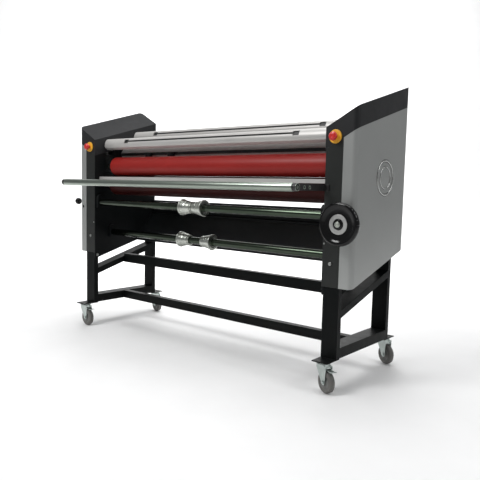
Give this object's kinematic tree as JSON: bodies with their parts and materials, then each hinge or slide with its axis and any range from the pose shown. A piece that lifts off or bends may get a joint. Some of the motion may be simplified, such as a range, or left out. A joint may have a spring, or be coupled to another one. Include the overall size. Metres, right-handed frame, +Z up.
{
  "type": "cold roll laminator",
  "caption": "Wide-format cold roll laminator on a castor stand: two silicone nip rollers between tall sloped side housings, supply shafts with core chucks, front idler bar and handwheel.",
  "frame": {"origin": "on the floor under the middle of the object's bounding box", "axes": "+X along the rollers towards the handwheel side, +Y from the feeding side to the back, +Z up"},
  "size_m": [2.0946, 0.8314, 1.3784],
  "materials": {
    "black_paint": "fine textured black powder coat",
    "silver_paint": "satin metallic silver paint",
    "bare_steel": "turned and ground",
    "zinc_plate": "zinc plated, satin",
    "anodised": "satin anodised",
    "chuck_metal": "turned, satin",
    "silicone": "ground silicone, satin",
    "wheel_rubber": "grey-black moulded rubber",
    "black_plastic": "glossy moulded black",
    "matt_black_plastic": "matt moulded black",
    "yellow_plastic": "satin yellow",
    "red_plastic": "satin red",
    "motor_paint": "grey enamel",
    "chain_steel": "oiled steel"
  },
  "bodies": {
    "frame": {"stand_left": "black_paint", "stand_right": "black_paint", "lower_stretcher": "black_paint", "upper_stretcher": "black_paint", "frame_bolts": "bare_steel", "side_plate_left": "black_paint", "side_plate_right": "black_paint", "column_left": "black_paint", "column_right": "black_paint", "side_cover_left": "silver_paint", "side_cover_right": "silver_paint", "top_cap_left": "black_paint", "top_cap_right": "black_paint", "estop_bases": "yellow_plastic", "belly_panel": "black_paint", "feed_table": "anodised", "front_guard": "anodised", "rear_guard": "anodised", "tie_bars": "anodised", "front_arms": "black_paint", "lower_bearing_blocks": "bare_steel", "shaft_saddles": "black_paint", "gear_motor": "motor_paint", "control_box": "zinc_plate", "power_inlet": "matt_black_plastic", "drive_chain": "chain_steel"},
    "castor_fl": {"castor_fork_fl": "zinc_plate"},
    "wheel_fl": {"castor_wheel_fl": "wheel_rubber"},
    "pedal_fl": {"brake_pedal_fl": "zinc_plate"},
    "castor_fr": {"castor_fork_fr": "zinc_plate"},
    "wheel_fr": {"castor_wheel_fr": "wheel_rubber"},
    "pedal_fr": {"brake_pedal_fr": "zinc_plate"},
    "castor_rl": {"castor_fork_rl": "zinc_plate"},
    "wheel_rl": {"castor_wheel_rl": "wheel_rubber"},
    "castor_rr": {"castor_fork_rr": "zinc_plate"},
    "wheel_rr": {"castor_wheel_rr": "wheel_rubber"},
    "estop_left": {"estop_button_left": "red_plastic"},
    "estop_right": {"estop_button_right": "red_plastic"},
    "handwheel": {"handwheel": "black_plastic", "handwheel_shaft": "bare_steel"},
    "riser": {"riser_shaft": "bare_steel"},
    "cross": {"cross_shaft": "bare_steel"},
    "screw_left": {"lift_screw_left": "bare_steel"},
    "screw_right": {"lift_screw_right": "bare_steel"},
    "lift": {"upper_bearing_blocks": "bare_steel"},
    "upper_roller": {"upper_roller_core": "bare_steel", "upper_roller_cover": "silicone"},
    "lower_roller": {"lower_roller_core": "bare_steel", "lower_roller_cover": "silicone"},
    "motor_output": {"motor_sprocket": "bare_steel"},
    "front_bar": {"front_bar": "bare_steel"},
    "upper_supply": {"upper_supply_shaft": "bare_steel"},
    "lower_supply": {"lower_supply_shaft": "bare_steel"},
    "chuck_upper_left": {"chuck_upper_left": "chuck_metal"},
    "chuck_upper_right": {"chuck_upper_right": "chuck_metal"},
    "chuck_lower_left": {"chuck_lower_left": "chuck_metal"},
    "chuck_lower_right": {"chuck_lower_right": "chuck_metal"},
    "brake_knob": {"brake_knob": "black_plastic"},
    "slitter_left": {"slitter_left": "matt_black_plastic"},
    "slitter_right": {"slitter_right": "matt_black_plastic"}
  },
  "joints": [
    {"name": "castor_swivel_fl", "type": "hinge", "parent": "frame", "child": "castor_fl", "pos_m": [-0.86425, -0.20675, 0.128], "axis": [0, 0, 1], "continuous": true},
    {"name": "wheel_spin_fl", "type": "hinge", "parent": "castor_fl", "child": "wheel_fl", "pos_m": [-0.83831, -0.20856, 0.05], "axis": [0.0698, 0.9976, 0], "continuous": true},
    {"name": "brake_pedal_turn_fl", "type": "hinge", "parent": "castor_fl", "child": "pedal_fl", "pos_m": [-0.83033, -0.20912, 0.11], "axis": [0.0698, 0.9976, 0], "range_deg": [0, 12]},
    {"name": "castor_swivel_fr", "type": "hinge", "parent": "frame", "child": "castor_fr", "pos_m": [0.88375, -0.20675, 0.128], "axis": [0, 0, 1], "continuous": true},
    {"name": "wheel_spin_fr", "type": "hinge", "parent": "castor_fr", "child": "wheel_fr", "pos_m": [0.9075, -0.21732, 0.05], "axis": [0.4067, 0.9135, 0], "continuous": true},
    {"name": "brake_pedal_turn_fr", "type": "hinge", "parent": "castor_fr", "child": "pedal_fr", "pos_m": [0.91481, -0.22058, 0.11], "axis": [0.4067, 0.9135, 0], "range_deg": [0, 12]},
    {"name": "castor_swivel_rl", "type": "hinge", "parent": "frame", "child": "castor_rl", "pos_m": [-0.86425, 0.37825, 0.128], "axis": [0, 0, 1], "continuous": true},
    {"name": "wheel_spin_rl", "type": "hinge", "parent": "castor_rl", "child": "wheel_rl", "pos_m": [-0.83902, 0.37196, 0.05], "axis": [0.2419, 0.9703, 0], "continuous": true},
    {"name": "castor_swivel_rr", "type": "hinge", "parent": "frame", "child": "castor_rr", "pos_m": [0.88375, 0.37825, 0.128], "axis": [0, 0, 1], "continuous": true},
    {"name": "wheel_spin_rr", "type": "hinge", "parent": "castor_rr", "child": "wheel_rr", "pos_m": [0.90712, 0.36685, 0.05], "axis": [0.4384, 0.8988, 0], "continuous": true},
    {"name": "estop_press_left", "type": "slide", "parent": "frame", "child": "estop_left", "axis": [0, 1, 0], "range_m": [0, 0.005], "stiffness_N_per_m": 1200},
    {"name": "estop_press_right", "type": "slide", "parent": "frame", "child": "estop_right", "axis": [0, 1, 0], "range_m": [0, 0.005], "stiffness_N_per_m": 1200},
    {"name": "handwheel_turn", "type": "hinge", "parent": "frame", "child": "handwheel", "pos_m": [0.95425, -0.24225, 0.741], "axis": [0, -1, 0], "range_deg": [0, 1800]},
    {"name": "riser_turn", "type": "hinge", "parent": "frame", "child": "riser", "pos_m": [0.95425, -0.05825, 0.94], "axis": [0, 0, 1], "range_deg": [-1800, 1800]},
    {"name": "cross_turn", "type": "hinge", "parent": "frame", "child": "cross", "pos_m": [0.00975, -0.05825, 1.14], "axis": [1, 0, 0], "range_deg": [-1800, 1800]},
    {"name": "screw_turn_left", "type": "hinge", "parent": "frame", "child": "screw_left", "pos_m": [-0.84425, -0.05825, 1.09], "axis": [0, 0, 1], "range_deg": [-1800, 1800]},
    {"name": "screw_turn_right", "type": "hinge", "parent": "frame", "child": "screw_right", "pos_m": [0.86375, -0.05825, 1.09], "axis": [0, 0, 1], "range_deg": [-1800, 1800]},
    {"name": "nip_lift", "type": "slide", "parent": "frame", "child": "lift", "axis": [0, 0, 1], "range_m": [0, 0.025]},
    {"name": "upper_roller_spin", "type": "hinge", "parent": "lift", "child": "upper_roller", "pos_m": [0.00975, -0.05825, 0.9952], "axis": [1, 0, 0], "continuous": true},
    {"name": "lower_roller_spin", "type": "hinge", "parent": "frame", "child": "lower_roller", "pos_m": [0.00975, -0.05825, 0.8798], "axis": [1, 0, 0], "continuous": true},
    {"name": "motor_sprocket_spin", "type": "hinge", "parent": "frame", "child": "motor_output", "pos_m": [-0.88025, 0.14575, 0.69], "axis": [1, 0, 0], "continuous": true},
    {"name": "front_bar_spin", "type": "hinge", "parent": "frame", "child": "front_bar", "pos_m": [0.00975, -0.39725, 0.892], "axis": [1, 0, 0], "continuous": true},
    {"name": "upper_supply_spin", "type": "hinge", "parent": "frame", "child": "upper_supply", "pos_m": [0.00975, -0.13925, 0.771], "axis": [1, 0, 0], "continuous": true},
    {"name": "lower_supply_spin", "type": "hinge", "parent": "frame", "child": "lower_supply", "pos_m": [0.00975, -0.04425, 0.583], "axis": [1, 0, 0], "continuous": true},
    {"name": "chuck_upper_left_slide", "type": "slide", "parent": "upper_supply", "child": "chuck_upper_left", "axis": [-1, 0, 0], "range_m": [-0.002, 0.715]},
    {"name": "chuck_upper_right_slide", "type": "slide", "parent": "upper_supply", "child": "chuck_upper_right", "axis": [1, 0, 0], "range_m": [-0.002, 0.72]},
    {"name": "chuck_lower_left_slide", "type": "slide", "parent": "lower_supply", "child": "chuck_lower_left", "axis": [-1, 0, 0], "range_m": [-0.044, 0.608]},
    {"name": "chuck_lower_right_slide", "type": "slide", "parent": "lower_supply", "child": "chuck_lower_right", "axis": [1, 0, 0], "range_m": [-0.044, 0.742]},
    {"name": "brake_knob_turn", "type": "hinge", "parent": "frame", "child": "brake_knob", "pos_m": [-1.03325, -0.13925, 0.771], "axis": [-1, 0, 0], "range_deg": [-180, 360]},
    {"name": "slitter_slide_left", "type": "slide", "parent": "frame", "child": "slitter_left", "axis": [1, 0, 0], "range_m": [-0.24, 0.08]},
    {"name": "slitter_slide_right", "type": "slide", "parent": "frame", "child": "slitter_right", "axis": [1, 0, 0], "range_m": [-0.08, 1.15]}
  ],
  "couplings": [
    {"joint": "riser_turn", "follows": "handwheel_turn", "ratio": -1},
    {"joint": "cross_turn", "follows": "handwheel_turn", "ratio": 1},
    {"joint": "screw_turn_left", "follows": "handwheel_turn", "ratio": -1},
    {"joint": "screw_turn_right", "follows": "handwheel_turn", "ratio": 1},
    {"joint": "nip_lift", "follows": "handwheel_turn", "m_per_rad": 0.00079577},
    {"joint": "motor_sprocket_spin", "follows": "lower_roller_spin", "ratio": 1.5}
  ]
}
